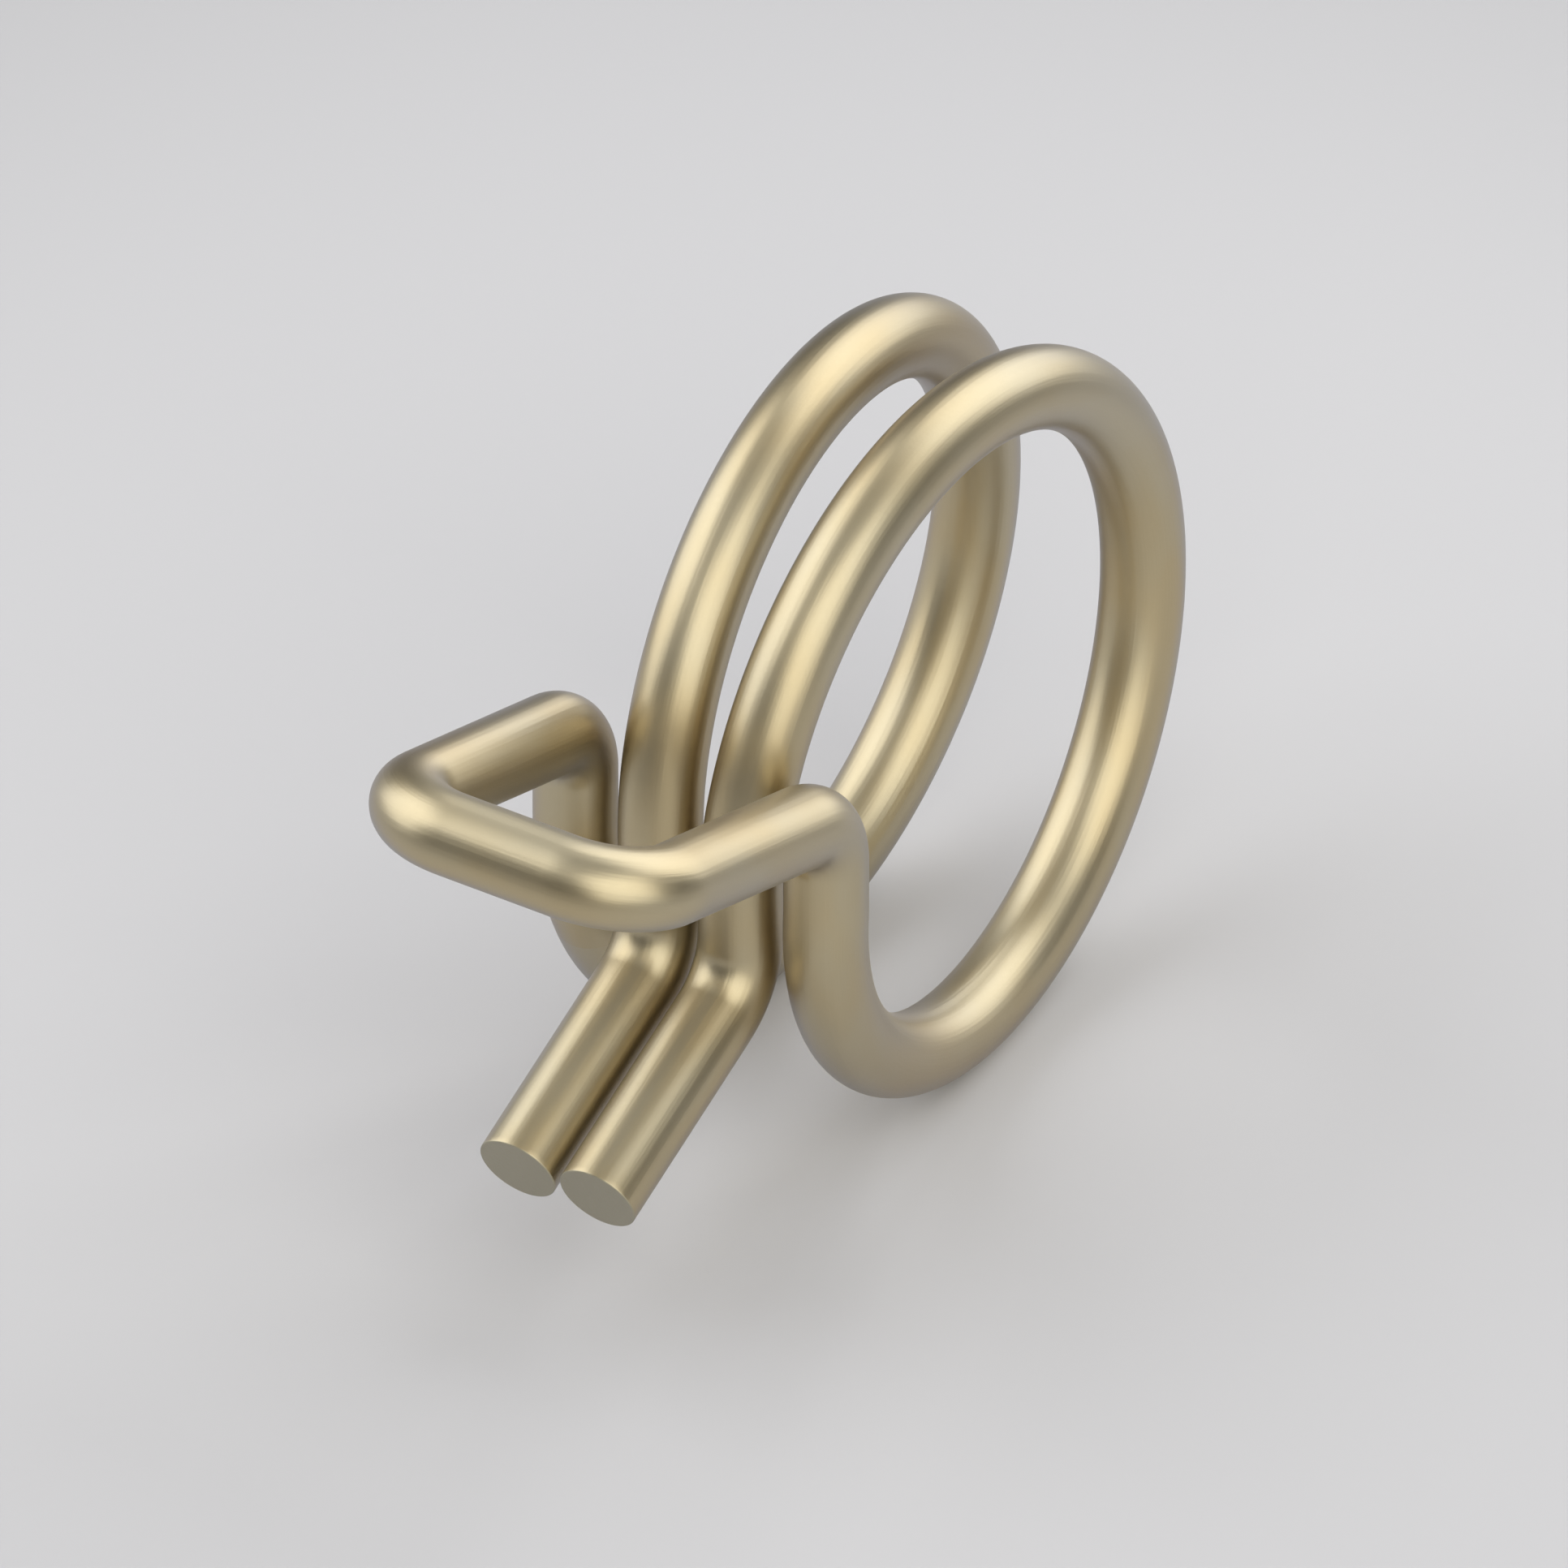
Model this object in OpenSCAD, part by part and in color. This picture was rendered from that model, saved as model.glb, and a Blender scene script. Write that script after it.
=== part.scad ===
// Double-wire spring hose clip.
// One length of round spring wire: two tails lie side by side, each runs up into a
// coil of one open turn, and the two coils end in legs that bend forward into the
// arms of a U-shaped grip loop. Squeezing the tails towards the loop opens the coils.
//
// X is the axis of the hose, the grip loop and the tails point to -Y, and +Z is up.
// The origin is the centre of the bore, midway between the two coils. Millimetres.

/* [Wire] */
// Diameter of the spring wire
wire_d = 2.0; // [1.2:0.1:3]

/* [Coils] */
// Bore through the coils when nothing holds them open
bore_d = 14; // [10:0.5:24]
// Space between the wires of the two tails, which lie side by side
tail_gap = 0.17; // [0.1:0.01:1]
// Space between each tail's wire and its own coil's leg, which it passes
turn_gap = 0.33; // [0.2:0.01:1.5]

/* [Grip loop] */
// Straight wire between the end of a coil and the bend into the arm
leg_run = 1.54; // [0.5:0.01:8]
// Straight wire of an arm, between its two bends
arm_run = 6.0; // [2:0.1:20]
// How far the arms rise towards the crossbar, in degrees
arm_rise = 20; // [0:1:45]
// Inside radius of the bend from a leg into an arm
leg_bend_in_r = 0.8; // [0.2:0.1:2]
// Inside radius of the two corners of the grip loop
corner_in_r = 0.9; // [0.2:0.1:1.2]

/* [Tails] */
// Straight wire between the end of a coil and the bend into the tail
drop_run = 1.54; // [0.5:0.01:8]
// Straight wire of a tail, from its bend to its cut end
tail_run = 5.55; // [2:0.05:20]
// How far the tails fall towards their cut ends, in degrees
tail_fall = 20; // [0:1:45]
// Inside radius of the bend from a coil into a tail
tail_bend_in_r = 0.8; // [0.2:0.1:2]

/* [Hidden] */
$fn = 64;
wire_colour = [0.80, 0.72, 0.53];
wire_r = wire_d / 2;

// Each coil is one turn in equal stretches, because the wire bends at their ends
stretch_count = 8;
stretch_turn = 360 / stretch_count;

// The wire's centreline in the coils
coil_r = bore_d / 2 + wire_r;
pitch = wire_d + turn_gap;
tail_x = tail_gap / 2 + wire_r;
leg_x = tail_x + pitch;

// Each stretch leans about its own middle, so that its ends climb along the coil's axis
stretch_climb = pitch / stretch_count;
stretch_chord = 2 * coil_r * sin(stretch_turn / 2);
stretch_lean = asin(stretch_climb / stretch_chord);
// How far the wire leans at a stretch's ends
end_lean = asin(sin(stretch_lean) * cos(stretch_turn / 2));

// The bends' centreline radii, and how far each bend turns
leg_bend_r = leg_bend_in_r + wire_r;
corner_r = corner_in_r + wire_r;
tail_bend_r = tail_bend_in_r + wire_r;
leg_bend_turn = 90 - arm_rise;
tail_bend_turn = 90 - tail_fall;

// The mitre between a coil and the straight wire reaches this far past the wire
mitre_block = 2 * wire_d;

function stretch_x(n) = leg_x - (n - 0.5) * stretch_climb;
function coil_point(turned) =
    [leg_x - pitch * turned / 360, -coil_r * cos(turned), -coil_r * sin(turned)];

// The least space between a coil's own turns, measured on points of its centreline,
// and between the two coils
turn_points = [for (turned = [0 : 5 : 355]) coil_point(turned)];
leg_points = [for (up = [0 : 0.1 : 1]) [leg_x, -coil_r, up * (leg_run + leg_bend_r)]];
tail_points = [for (turned = [300 : 5 : 360]) coil_point(turned)];
echo(least_gap_leg_to_turn = min([for (a = leg_points, b = tail_points) norm(a - b)]) - wire_d);
echo(least_gap_between_coils = 2 * min([for (p = turn_points) p[0]]) - wire_d);

// A straight length of wire up from the origin
module straight_wire(run) {
    color(wire_colour) cylinder(h = run, r = wire_r);
}

// A bend of the wire round +Z, which starts on the X axis
module bent_wire(r, turn) {
    color(wire_colour) rotate_extrude(angle = turn) translate([r, 0]) circle(r = wire_r);
}

// The right side is drawn, and the left is its mirror image
module on_side(side) {
    mirror([side == "left" ? 1 : 0, 0, 0]) children();
}

// Turns a bend's plane to the YZ plane, starting towards +Y and rising
module upright() {
    rotate([90, 0, 90]) children();
}

// The frame at the top of the bend into the right arm, with -Y out along the arm
module at_arm() {
    translate([leg_x, -coil_r - leg_bend_r, leg_run])
        rotate([-arm_rise, 0, 0])
            translate([0, 0, leg_bend_r]) children();
}

// The frame at the bottom of the bend into the right tail, with -Y out along the tail
module at_tail() {
    translate([tail_x, -coil_r - tail_bend_r, -drop_run])
        rotate([tail_fall, 0, 0])
            translate([0, 0, -tail_bend_r]) children();
}

// One stretch of a coil. Number 1 meets the leg, and the last one meets the tail
module coil_stretch(n) {
    translate([stretch_x(n), 0, 0])
        rotate([(n - 0.5) * stretch_turn - 90, 0, 0]) rotate([0, 90, 0])
            rotate([-stretch_lean, 0, 0]) rotate([0, 0, -stretch_turn / 2])
                bent_wire(coil_r, stretch_turn);
}

// Upright straight wire that meets a coil, mitred to the coil's end face
module mitred_wire(run) {
    difference() {
        translate([0, 0, -wire_r]) straight_wire(run + wire_r);
        rotate([0, end_lean, 0])
            translate([-mitre_block, -mitre_block, -2 * mitre_block])
                cube(2 * mitre_block);
    }
}

module leg() {
    translate([leg_x, -coil_r, 0]) mitred_wire(leg_run);
}

module leg_bend() {
    translate([leg_x, -coil_r - leg_bend_r, leg_run])
        upright() bent_wire(leg_bend_r, leg_bend_turn);
}

module arm() {
    at_arm() rotate([90, 0, 0]) straight_wire(arm_run);
}

module grip_corner() {
    at_arm() translate([-corner_r, -arm_run, 0])
        rotate([0, 0, -90]) bent_wire(corner_r, 90);
}

module grip_bar() {
    bar_run = 2 * (leg_x - corner_r);
    at_arm() translate([-corner_r, -arm_run - corner_r, 0])
        rotate([0, -90, 0]) straight_wire(bar_run);
}

module tail_drop() {
    translate([tail_x, -coil_r, 0]) rotate([0, 180, 0]) mitred_wire(drop_run);
}

module tail_bend() {
    translate([tail_x, -coil_r - tail_bend_r, -drop_run])
        mirror([0, 0, 1]) upright() bent_wire(tail_bend_r, tail_bend_turn);
}

module tail() {
    at_tail() rotate([90, 0, 0]) straight_wire(tail_run);
}

grip_bar();
for (side = ["right", "left"]) on_side(side) {
    grip_corner();
    arm();
    leg_bend();
    leg();
    for (n = [1 : stretch_count]) {
        coil_stretch(n);
    }
    tail_drop();
    tail_bend();
    tail();
}
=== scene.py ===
import math

import bmesh
import bpy
from mathutils import Matrix, Vector
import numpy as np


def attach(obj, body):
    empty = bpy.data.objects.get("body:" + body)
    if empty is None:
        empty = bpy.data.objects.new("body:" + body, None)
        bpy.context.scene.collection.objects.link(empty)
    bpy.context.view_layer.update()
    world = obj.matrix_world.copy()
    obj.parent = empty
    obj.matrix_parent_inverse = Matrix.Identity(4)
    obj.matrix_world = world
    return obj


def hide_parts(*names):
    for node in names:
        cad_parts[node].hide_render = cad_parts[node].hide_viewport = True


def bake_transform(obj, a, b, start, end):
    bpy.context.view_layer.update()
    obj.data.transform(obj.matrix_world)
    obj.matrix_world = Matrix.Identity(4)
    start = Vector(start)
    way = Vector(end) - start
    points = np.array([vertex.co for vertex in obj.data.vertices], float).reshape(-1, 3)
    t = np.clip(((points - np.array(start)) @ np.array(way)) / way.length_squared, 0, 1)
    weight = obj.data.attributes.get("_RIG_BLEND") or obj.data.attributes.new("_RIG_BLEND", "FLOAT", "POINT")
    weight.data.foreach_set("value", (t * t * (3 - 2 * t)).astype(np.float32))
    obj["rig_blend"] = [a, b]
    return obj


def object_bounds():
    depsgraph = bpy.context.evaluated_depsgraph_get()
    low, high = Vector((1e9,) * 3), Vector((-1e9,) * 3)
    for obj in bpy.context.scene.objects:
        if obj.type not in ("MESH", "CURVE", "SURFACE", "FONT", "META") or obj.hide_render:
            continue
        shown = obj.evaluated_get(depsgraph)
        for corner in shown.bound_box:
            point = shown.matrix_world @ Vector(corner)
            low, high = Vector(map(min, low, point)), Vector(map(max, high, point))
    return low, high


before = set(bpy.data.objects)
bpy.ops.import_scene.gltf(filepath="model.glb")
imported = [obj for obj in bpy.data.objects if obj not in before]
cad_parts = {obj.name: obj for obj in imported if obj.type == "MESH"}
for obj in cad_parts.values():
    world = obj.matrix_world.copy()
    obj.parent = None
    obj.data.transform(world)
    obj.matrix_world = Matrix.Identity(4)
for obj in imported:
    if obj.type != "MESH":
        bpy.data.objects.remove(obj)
cadLow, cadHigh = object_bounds()
print("frame loaded:", len(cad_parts), "nodes")

mm = 0.001
quarterTurn = 90  # degrees
fullTurn = 360
alongHose = Vector((1, 0, 0))
towardsGrip = Vector((0, -1, 0))
up = Vector((0, 0, 1))


def link(material, fromNode, output, toNode, socket):
    material.node_tree.links.new(fromNode.outputs[output], toNode.inputs[socket])


# Yellow plate on drawn wire. A texture's scale is per millimetre across the wire, and
# lengthwise is how much of that is left along it
platedFinish = {
    "golden": (0.536, 0.443, 0.272),  # where the plate is thick
    "yellow": (0.530, 0.454, 0.298),
    "silvery": (0.534, 0.470, 0.327),  # where it is thin
    "colourStops": (0.36, 0.50, 0.64),
    "shearedAndShaded": (0.445, 0.406, 0.290),  # the cut ends: greyer bare steel where there is little plate, and darker as painted shade
    "edgeTint": (0.66, 0.73, 0.97),  # how much of its shine the plate keeps when seen edge on
    "roughness": (0.375, 0.415),
    "grainRange": (0.3, 0.7),
    "clouds": {"scale": 0.55, "lengthwise": 0.35, "detail": 2},
    "drawnLines": {"scale": 8, "lengthwise": 0.02, "detail": 2},
    "grain": {"scale": 18, "lengthwise": 1, "detail": 3},
    "lineDepth": 0.006 * mm,
    "grainDepth": 0.0015 * mm,
}


def makePlatedWire():
    material = bpy.data.materials.new("platedWire")
    material.use_nodes = True
    nodes = material.node_tree.nodes
    shader = nodes["Principled BSDF"]
    shader.inputs["Metallic"].default_value = 1.0
    shader.inputs["Specular Tint"].default_value = (*platedFinish["edgeTint"], 1)

    # The textures follow the wire round every bend, because they read its straightened shape
    place = nodes.new("ShaderNodeAttribute")
    place.attribute_name = "straightWire"

    def noise(scale, lengthwise, detail):
        stretch = nodes.new("ShaderNodeMapping")
        stretch.inputs["Scale"].default_value = (scale, scale, scale * lengthwise)
        link(material, place, "Vector", stretch, "Vector")
        texture = nodes.new("ShaderNodeTexNoise")
        texture.inputs["Scale"].default_value = 1.0  # the mapping has the scale in it
        texture.inputs["Detail"].default_value = detail
        link(material, stretch, "Vector", texture, "Vector")
        return texture

    clouds = noise(**platedFinish["clouds"])
    drawnLines = noise(**platedFinish["drawnLines"])
    grain = noise(**platedFinish["grain"])

    colour = nodes.new("ShaderNodeValToRGB")
    thick, between, thin = platedFinish["colourStops"]
    stops = colour.color_ramp.elements
    stops[0].position, stops[0].color = thick, (*platedFinish["golden"], 1)
    stops[1].position, stops[1].color = thin, (*platedFinish["silvery"], 1)
    stops.new(between).color = (*platedFinish["yellow"], 1)
    link(material, clouds, "Fac", colour, "Fac")

    # The cut ends are greyer than the drawn sides, as bare steel, and also darker as painted shade, since
    # they face the lit floor
    cut = nodes.new("ShaderNodeAttribute")
    cut.attribute_name = "cutEnd"
    plateOrShadedCut = nodes.new("ShaderNodeMix")
    plateOrShadedCut.data_type = "RGBA"
    plateOrShadedCut.inputs["B"].default_value = (*platedFinish["shearedAndShaded"], 1)
    link(material, cut, "Fac", plateOrShadedCut, "Factor")
    link(material, colour, "Color", plateOrShadedCut, "A")
    link(material, plateOrShadedCut, "Result", shader, "Base Color")

    dullness = nodes.new("ShaderNodeMapRange")
    dullness.inputs["From Min"].default_value = platedFinish["grainRange"][0]
    dullness.inputs["From Max"].default_value = platedFinish["grainRange"][1]
    dullness.inputs["To Min"].default_value = platedFinish["roughness"][0]
    dullness.inputs["To Max"].default_value = platedFinish["roughness"][1]
    link(material, grain, "Fac", dullness, "Value")
    link(material, dullness, "Result", shader, "Roughness")

    lines = nodes.new("ShaderNodeBump")
    lines.inputs["Distance"].default_value = platedFinish["lineDepth"]
    link(material, drawnLines, "Fac", lines, "Height")
    grains = nodes.new("ShaderNodeBump")
    grains.inputs["Distance"].default_value = platedFinish["grainDepth"]
    link(material, grain, "Fac", grains, "Height")
    link(material, lines, "Normal", grains, "Normal")
    link(material, grains, "Normal", shader, "Normal")
    return material


platedWire = makePlatedWire()
print("finish ready")


# The spring wire is round, and the same from one cut end to the other
wire = {
    "radius": 1.0 * mm,
    "facesRound": 64,
    "ringSpacing": 0.125 * mm,
}


# A fresh mesh that also keeps where each point would be on the straight wire, in millimetres,
# and which points are on a cut end
def newWire():
    bm = bmesh.new()
    bm.verts.layers.float_vector.new("straightWire")
    bm.verts.layers.float.new("cutEnd")
    return bm


def extrudeRing(bm, ring):
    inRing = set(ring)
    rim = {e for v in ring for e in v.link_edges if e.other_vert(v) in inRing}
    made = bmesh.ops.extrude_edge_only(bm, edges=list(rim))["geom"]
    return [part for part in made if isinstance(part, bmesh.types.BMVert)]


def middleOf(ring):
    return sum((v.co for v in ring), Vector()) / len(ring)


# Draws the wire on by equal steps, each turned about an axis, moved, or both
def carryOn(bm, ring, drawn, length, turn=0, axis=alongHose, centre=Vector(), shift=Vector()):
    layer = bm.verts.layers.float_vector["straightWire"]
    steps = max(1, math.ceil(length / wire["ringSpacing"]))
    turnStep = Matrix.Rotation(math.radians(turn) / steps, 3, axis)
    for _ in range(steps):
        ring = extrudeRing(bm, ring)
        bmesh.ops.rotate(bm, verts=ring, cent=centre, matrix=turnStep)
        bmesh.ops.translate(bm, verts=ring, vec=shift / steps)
        drawn += length / steps
        for v in ring:
            v[layer].z = drawn / mm
    return ring, drawn


def straight(bm, ring, drawn, direction, run):
    return carryOn(bm, ring, drawn, run, shift=direction * run)


# Bends round a centre that lies off to one side of the wire
def bend(bm, ring, drawn, toCentre, bendRadius, turn, axis):
    centre = middleOf(ring) + toCentre * bendRadius
    length = bendRadius * math.radians(abs(turn))
    return carryOn(bm, ring, drawn, length, turn=turn, axis=axis, centre=centre)


# Closes both ends of a piece and makes it an object. The ends' rims stay sharp, so that the
# side is shaded as smoothly there as it is further along
def finishPiece(bm, name, nodes):
    for face in bm.faces:
        face.smooth = True
    for end in bmesh.ops.holes_fill(bm, edges=bm.edges[:], sides=0)["faces"]:
        end.smooth = False
        for edge in end.edges:
            edge.smooth = False
    bmesh.ops.recalc_face_normals(bm, faces=bm.faces[:])
    mesh = bpy.data.meshes.new(name)
    bm.to_mesh(mesh)
    bm.free()
    piece = bpy.data.objects.new(name, mesh)
    bpy.context.scene.collection.objects.link(piece)
    mesh.materials.append(platedWire)
    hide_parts(*nodes)
    return piece


# Each coil is one open turn along the hose. It is made in pieces, because it bends as it opens
coil = {
    "radius": 8.0 * mm,  # of the wire's middle
    "pitch": 2.33 * mm,
    "tailX": 1.085 * mm,
    "stretches": 8,  # rigid stretches of the frame's coil, with a hinge between each two
    "flexTurn": 38,  # degrees of each 45 that do the bending
}
coil["legX"] = coil["tailX"] + coil["pitch"]
coil["stretchTurn"] = fullTurn / coil["stretches"]
firstMiddle = coil["stretchTurn"] / 2  # the middle of each coil's first stretch, in degrees
lastMiddle = fullTurn - firstMiddle


def coilLength(turn):
    return coil["radius"] * math.radians(abs(turn))


# Where the wire's middle is after a coil has turned so many degrees from its leg
def coilPoint(side, turned):
    angle = math.radians(turned)
    x = coil["legX"] - coil["pitch"] * turned / fullTurn
    return Vector((side * x, -coil["radius"] * math.cos(angle), -coil["radius"] * math.sin(angle)))


# The first ring of a piece, which lies in the plane of the hose and the coil's radius
def firstRing(bm, side, turned, drawn):
    layer = bm.verts.layers.float_vector["straightWire"]
    angle = math.radians(turned)
    outward = alongHose * side
    awayFromHose = Vector((0, -math.cos(angle), -math.sin(angle)))
    ring = bmesh.ops.create_circle(bm, segments=wire["facesRound"], radius=wire["radius"])["verts"]
    for v in ring:
        v[layer] = Vector((v.co.x, v.co.y, drawn)) / mm
        v.co = coilPoint(side, turned) + outward * v.co.x + awayFromHose * v.co.y
    return ring, drawn


# Winds a coil on from one turned angle to another
def wind(bm, ring, drawn, side, turnedFrom, turnedTo):
    turn = turnedTo - turnedFrom
    climb = -side * coil["pitch"] * turn / fullTurn
    return carryOn(bm, ring, drawn, coilLength(turn), turn=turn, shift=alongHose * climb)


# The grip loop, and the legs that carry it
loop = {
    "legRun": 1.54 * mm,
    "legBendRadius": 1.8 * mm,
    "armRun": 6.0 * mm,
    "armRise": 20,
    "cornerRadius": 1.9 * mm,
}
legBendTurn = quarterTurn - loop["armRise"]
barRun = 2 * (coil["legX"] - loop["cornerRadius"])
# Half the loop's wire, which is how far its ends are drawn from the middle of the crossbar
loopHalf = (
    barRun / 2
    + loop["cornerRadius"] * math.radians(quarterTurn)
    + loop["armRun"]
    + loop["legBendRadius"] * math.radians(legBendTurn)
    + loop["legRun"]
    + coilLength(firstMiddle)
)
armRise = math.radians(loop["armRise"])
armOut = Vector((0, -math.cos(armRise), math.sin(armRise)))
armUp = Vector((0, math.sin(armRise), math.cos(armRise)))


# From the left coil's first stretch, over the crossbar, to the right coil's first stretch
def makeGripLoop():
    bm = newWire()
    ring, drawn = firstRing(bm, -1, firstMiddle, -loopHalf)
    ring, drawn = wind(bm, ring, drawn, -1, firstMiddle, 0)
    ring, drawn = straight(bm, ring, drawn, up, loop["legRun"])
    ring, drawn = bend(bm, ring, drawn, towardsGrip, loop["legBendRadius"], legBendTurn, alongHose)
    ring, drawn = straight(bm, ring, drawn, armOut, loop["armRun"])
    ring, drawn = bend(bm, ring, drawn, alongHose, loop["cornerRadius"], quarterTurn, armUp)
    ring, drawn = straight(bm, ring, drawn, alongHose, barRun)
    ring, drawn = bend(bm, ring, drawn, -armOut, loop["cornerRadius"], quarterTurn, armUp)
    ring, drawn = straight(bm, ring, drawn, -armOut, loop["armRun"])
    ring, drawn = bend(bm, ring, drawn, -armUp, loop["legBendRadius"], -legBendTurn, alongHose)
    ring, drawn = straight(bm, ring, drawn, -up, loop["legRun"])
    ring, drawn = wind(bm, ring, drawn, 1, 0, firstMiddle)
    parts = ("grip_corner", "arm", "leg_bend", "leg", "coil_1")
    nodes = ["grip_bar"] + [f"{side}_{part}" for side in ("right", "left") for part in parts]
    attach(finishPiece(bm, "gripLoop", nodes), "grip_loop")


# The part of a coil that bends about one hinge, between the middles of two stretches
def makeFlexingPiece(sideName, side, hinge, parent, child):
    turned = hinge * coil["stretchTurn"]
    start = turned - coil["stretchTurn"] / 2
    bm = newWire()
    ring, drawn = firstRing(bm, side, start, loopHalf + coilLength(start - firstMiddle))
    wind(bm, ring, drawn, side, start, start + coil["stretchTurn"])
    nodes = [f"{sideName}_coil_{hinge}", f"{sideName}_coil_{hinge + 1}"]
    piece = finishPiece(bm, f"{sideName}Coil{hinge}", nodes)
    bendStart = coilPoint(side, turned - coil["flexTurn"] / 2)
    bendEnd = coilPoint(side, turned + coil["flexTurn"] / 2)
    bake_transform(piece, parent, child, bendStart, bendEnd)


# The tails, from the coils' last stretches to the cut ends
tail = {
    "dropRun": 1.54 * mm,
    "bendRadius": 1.8 * mm,
    "run": 5.55 * mm,
    "fall": 20,
    "shearRounding": 0.03 * mm,  # the cut ends have a slightly broken edge
    "shearSteps": 4,
}
tailBendTurn = quarterTurn - tail["fall"]
tailFall = math.radians(tail["fall"])
tailOut = Vector((0, -math.cos(tailFall), -math.sin(tailFall)))


# Breaks the edge of a cut end with a quarter round
def roundEnd(bm, ring, direction):
    layer = bm.verts.layers.float["cutEnd"]
    rounding, steps = tail["shearRounding"], tail["shearSteps"]
    for step in range(steps):
        before, after = (math.radians(quarterTurn * s / steps) for s in (step, step + 1))
        ring = extrudeRing(bm, ring)
        # These points take the cut end's colour: greyer bare steel, darkened with painted shade
        for v in ring:
            v[layer] = 1
        radiusBefore = wire["radius"] - rounding * (1 - math.cos(before))
        radiusAfter = wire["radius"] - rounding * (1 - math.cos(after))
        fromMiddle = Matrix.Translation(-middleOf(ring))
        shrink = radiusAfter / radiusBefore
        bmesh.ops.scale(bm, verts=ring, vec=(shrink, shrink, shrink), space=fromMiddle)
        rise = rounding * (math.sin(after) - math.sin(before))
        bmesh.ops.translate(bm, verts=ring, vec=direction * rise)


def makeTail(sideName, side):
    bm = newWire()
    ring, drawn = firstRing(bm, side, lastMiddle, loopHalf + coilLength(lastMiddle - firstMiddle))
    ring, drawn = wind(bm, ring, drawn, side, lastMiddle, fullTurn)
    ring, drawn = straight(bm, ring, drawn, -up, tail["dropRun"])
    ring, drawn = bend(bm, ring, drawn, towardsGrip, tail["bendRadius"], -tailBendTurn, alongHose)
    ring, drawn = straight(bm, ring, drawn, tailOut, tail["run"] - tail["shearRounding"])
    roundEnd(bm, ring, tailOut)
    nodes = [f"{sideName}_{part}" for part in ("coil_8", "tail_drop", "tail_bend", "tail")]
    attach(finishPiece(bm, f"{sideName}Tail", nodes), f"{sideName}_tail_side")


makeGripLoop()
for sideName, side in (("right", 1), ("left", -1)):
    parent = "grip_loop"
    for hinge in range(1, coil["stretches"]):
        lastHinge = hinge == coil["stretches"] - 1
        child = f"{sideName}_tail_side" if lastHinge else f"{sideName}_coil_stretch_{hinge + 1}"
        makeFlexingPiece(sideName, side, hinge, parent, child)
        parent = child
    makeTail(sideName, side)


# The paper is pale round the clip, and darker further off as painted shade, where the light would fall away;
# the metal reflects this darker paper too
paper = {
    "size": 800 * mm,
    "near": (0.575, 0.575, 0.595),
    # painted shade on the paper away from the clip
    "far": (0.27, 0.27, 0.278),
    "fadeFrom": 24 * mm,
    "fadeTo": 84 * mm,
    "roughness": 0.9,
    "shine": 0.1,
}


def makeFloor():
    material = bpy.data.materials.new("palePaper")
    material.use_nodes = True
    nodes = material.node_tree.nodes
    shader = nodes["Principled BSDF"]
    shader.inputs["Roughness"].default_value = paper["roughness"]
    shader.inputs["Specular IOR Level"].default_value = paper["shine"]
    place = nodes.new("ShaderNodeTexCoord")
    flat = nodes.new("ShaderNodeVectorMath")
    flat.operation = "MULTIPLY"
    flat.inputs[1].default_value = (1, 1, 0)
    outwards = nodes.new("ShaderNodeVectorMath")
    outwards.operation = "LENGTH"
    # Painted shade: the paper's colour fades from near to far with distance from the clip
    fade = nodes.new("ShaderNodeMapRange")
    fade.interpolation_type = "SMOOTHSTEP"
    fade.inputs["From Min"].default_value = paper["fadeFrom"]
    fade.inputs["From Max"].default_value = paper["fadeTo"]
    colour = nodes.new("ShaderNodeMix")
    colour.data_type = "RGBA"
    colour.inputs["A"].default_value = (*paper["near"], 1)
    colour.inputs["B"].default_value = (*paper["far"], 1)
    link(material, place, "Object", flat, 0)
    link(material, flat, "Vector", outwards, 0)
    link(material, outwards, "Value", fade, "Value")
    link(material, fade, "Result", colour, "Factor")
    link(material, colour, "Result", shader, "Base Color")
    bm = bmesh.new()
    bmesh.ops.create_grid(bm, x_segments=1, y_segments=1, size=paper["size"] / 2)
    bmesh.ops.translate(bm, verts=bm.verts[:], vec=(0, 0, cadLow.z))
    mesh = bpy.data.meshes.new("floor")
    bm.to_mesh(mesh)
    bm.free()
    mesh.materials.append(material)
    floor = bpy.data.objects.new("floor", mesh)
    bpy.context.scene.collection.objects.link(floor)


# Where each soft box stands, seen from the clip, its width and height, and how bright its face is
softBoxDistance = 600 * mm
softBoxes = {
    "cameraBox": {
        "azimuth": -35,
        "elevation": 31,
        "size": (720 * mm, 720 * mm),
        "glow": 1.73,
        "colour": (1.0, 0.975, 0.90),
    },
    "leftBox": {
        "azimuth": 194.5,
        "elevation": 31,
        "size": (740 * mm, 730 * mm),
        "glow": 1.82,
        "colour": (1.0, 1.0, 1.0),
    },
    "backBox": {
        "azimuth": 79,
        "elevation": 32.5,
        "size": (720 * mm, 780 * mm),
        "glow": 1.90,
        "colour": (1.0, 1.0, 1.0),
    },
}


def makeSoftBox(name, azimuth, elevation, size, glow, colour):
    light = bpy.data.lights.new(name, "AREA")
    light.shape = "RECTANGLE"
    light.size, light.size_y = size
    light.energy = glow * math.pi * size[0] * size[1]  # a face glows at power / (pi * area)
    light.color = colour
    box = bpy.data.objects.new(name, light)
    around, above = math.radians(azimuth), math.radians(elevation)
    level = Vector((math.cos(around), math.sin(around), 0))
    towards = level * math.cos(above) + up * math.sin(above)
    box.location = towards * softBoxDistance
    box.rotation_mode = "QUATERNION"
    box.rotation_quaternion = towards.to_track_quat("Z", "Y")
    bpy.context.scene.collection.objects.link(box)


# A dim room, lighter overhead. The heights are the sine of the angle above the horizon
room = {
    "overhead": (0.36, 0.36, 0.36),
    "round": (0.01, 0.01, 0.01),
    "below": (0.60, 0.60, 0.62),  # as pale as the paper, where a low camera looks under its edge
    "darkUpTo": 0.2,
    "lightFrom": 0.65,
}


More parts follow.
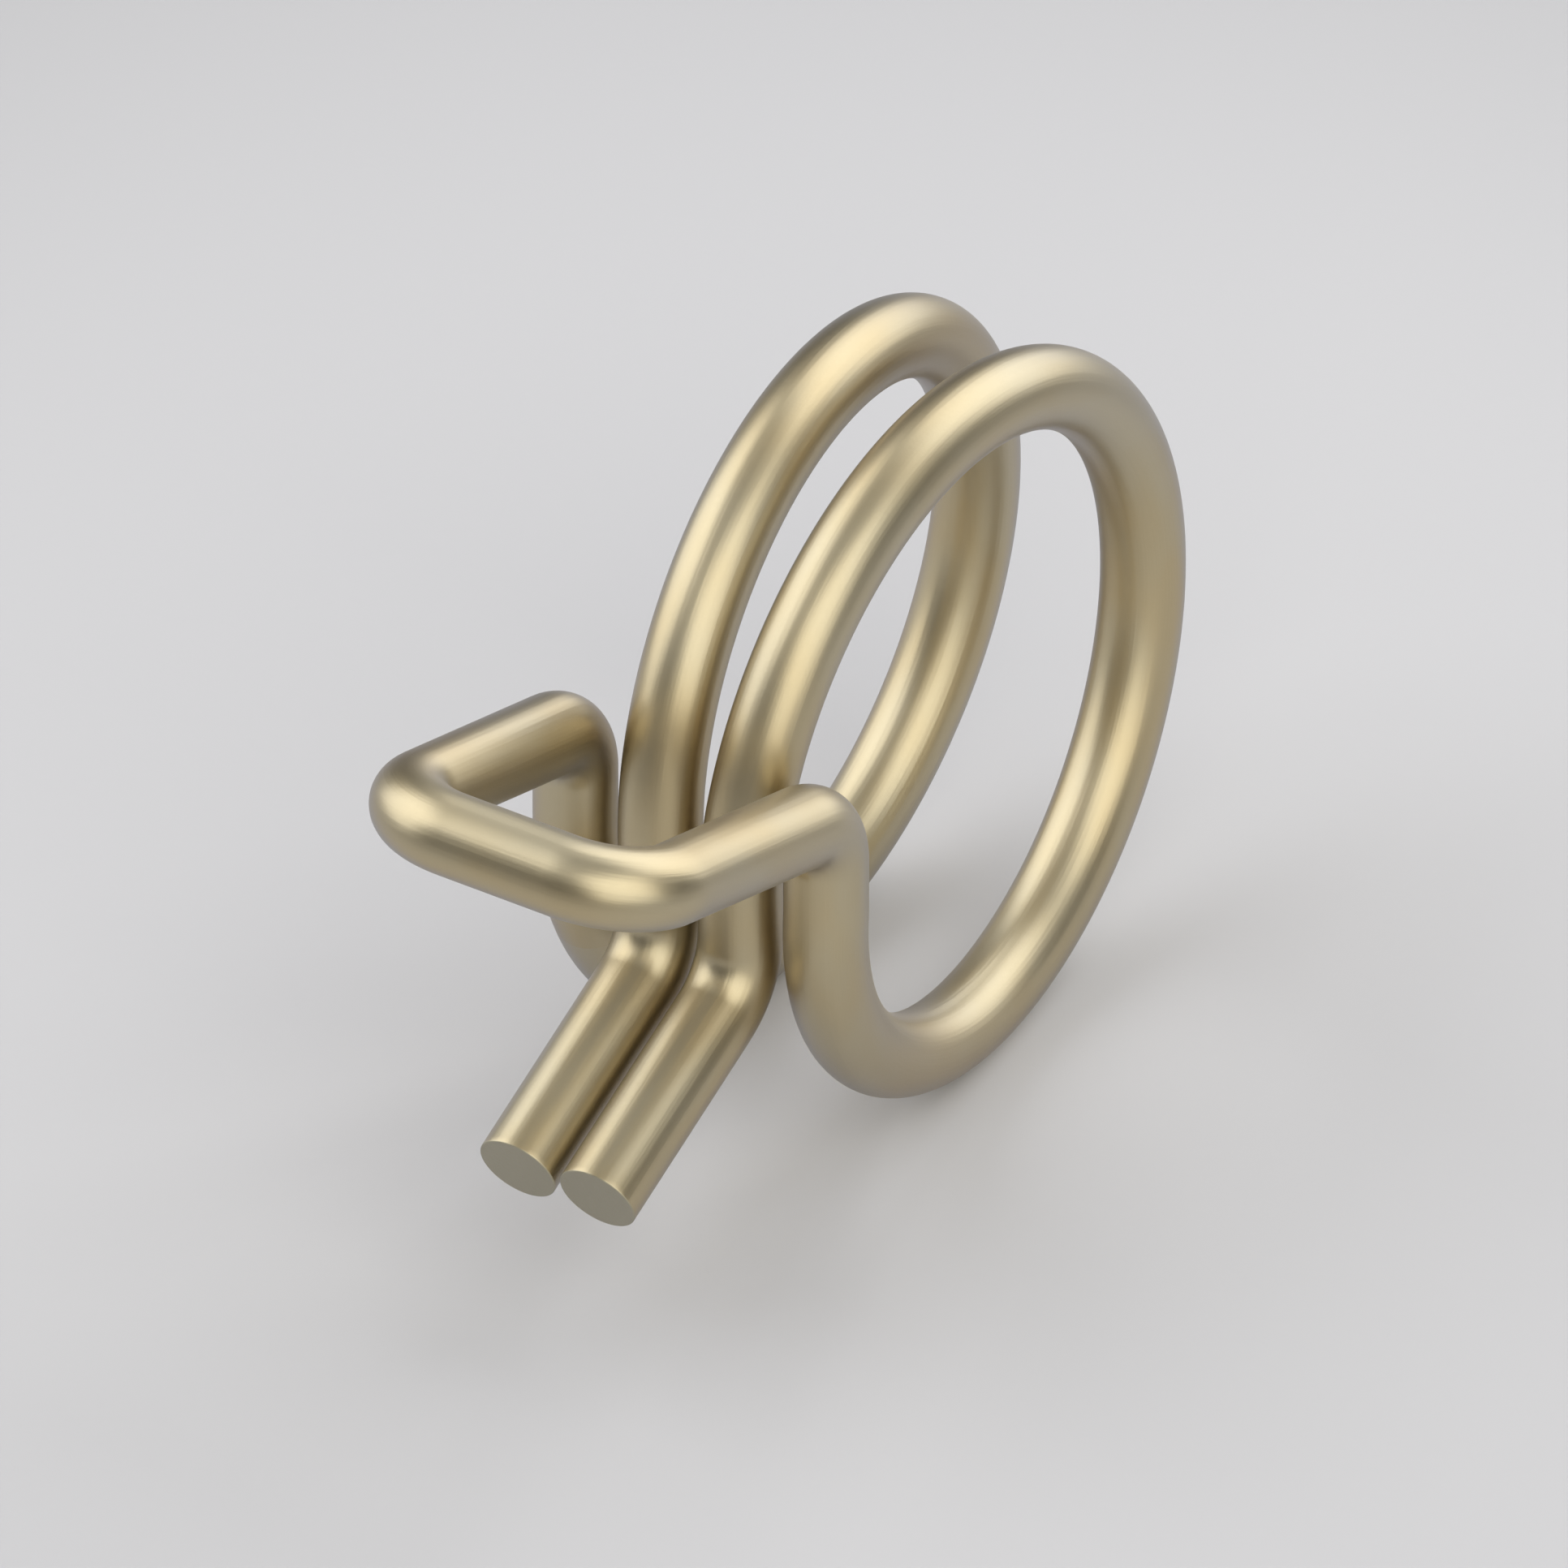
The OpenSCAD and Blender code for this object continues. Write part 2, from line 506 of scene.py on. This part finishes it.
def makeRoom():
    world = bpy.data.worlds.new("room")
    bpy.context.scene.world = world
    world.use_nodes = True
    nodes = world.node_tree.nodes
    background = nodes["Background"]
    direction = nodes.new("ShaderNodeTexCoord")
    split = nodes.new("ShaderNodeSeparateXYZ")
    sky = nodes.new("ShaderNodeValToRGB")
    sky.color_ramp.elements[0].color = (*room["round"], 1)
    sky.color_ramp.elements[0].position = room["darkUpTo"]
    sky.color_ramp.elements[1].color = (*room["overhead"], 1)
    sky.color_ramp.elements[1].position = room["lightFrom"]
    below = nodes.new("ShaderNodeMath")
    below.operation = "LESS_THAN"
    below.inputs[1].default_value = 0
    colour = nodes.new("ShaderNodeMix")
    colour.data_type = "RGBA"
    colour.inputs["B"].default_value = (*room["below"], 1)
    link(world, direction, "Generated", split, "Vector")
    link(world, split, "Z", sky, "Fac")
    link(world, split, "Z", below, 0)
    link(world, below, "Value", colour, "Factor")
    link(world, sky, "Color", colour, "A")
    link(world, colour, "Result", background, "Color")


makeFloor()
for name, box in softBoxes.items():
    makeSoftBox(name, **box)
makeRoom()
print("studio ready")


camera = {
    "azimuth": 31.44,
    "elevation": 37.43,
    "frameWidth": 36.444 * mm,
    "aimRight": -2.239 * mm,  # of the bore's centre
    "aimUp": -2.245 * mm,
    "distance": 300 * mm,
    "nearest": 1 * mm,
    "furthest": 2000 * mm,
}


def makeCamera():
    azimuth, elevation = math.radians(camera["azimuth"]), math.radians(camera["elevation"])
    level = Vector((math.sin(azimuth), -math.cos(azimuth), 0))
    back = level * math.cos(elevation) + up * math.sin(elevation)
    lens = bpy.data.cameras.new("camera")
    lens.type = "ORTHO"
    lens.ortho_scale = camera["frameWidth"]
    lens.clip_start = camera["nearest"]
    lens.clip_end = camera["furthest"]
    holder = bpy.data.objects.new("camera", lens)
    holder.rotation_mode = "QUATERNION"
    holder.rotation_quaternion = back.to_track_quat("Z", "Y")
    right, above = (holder.rotation_quaternion @ Vector(d) for d in ((1, 0, 0), (0, 1, 0)))
    aim = right * camera["aimRight"] + above * camera["aimUp"]
    holder.location = aim + back * camera["distance"]
    bpy.context.scene.collection.objects.link(holder)
    bpy.context.scene.camera = holder


makeCamera()
bpy.context.scene.view_settings.view_transform = "Standard"
print("camera ready")
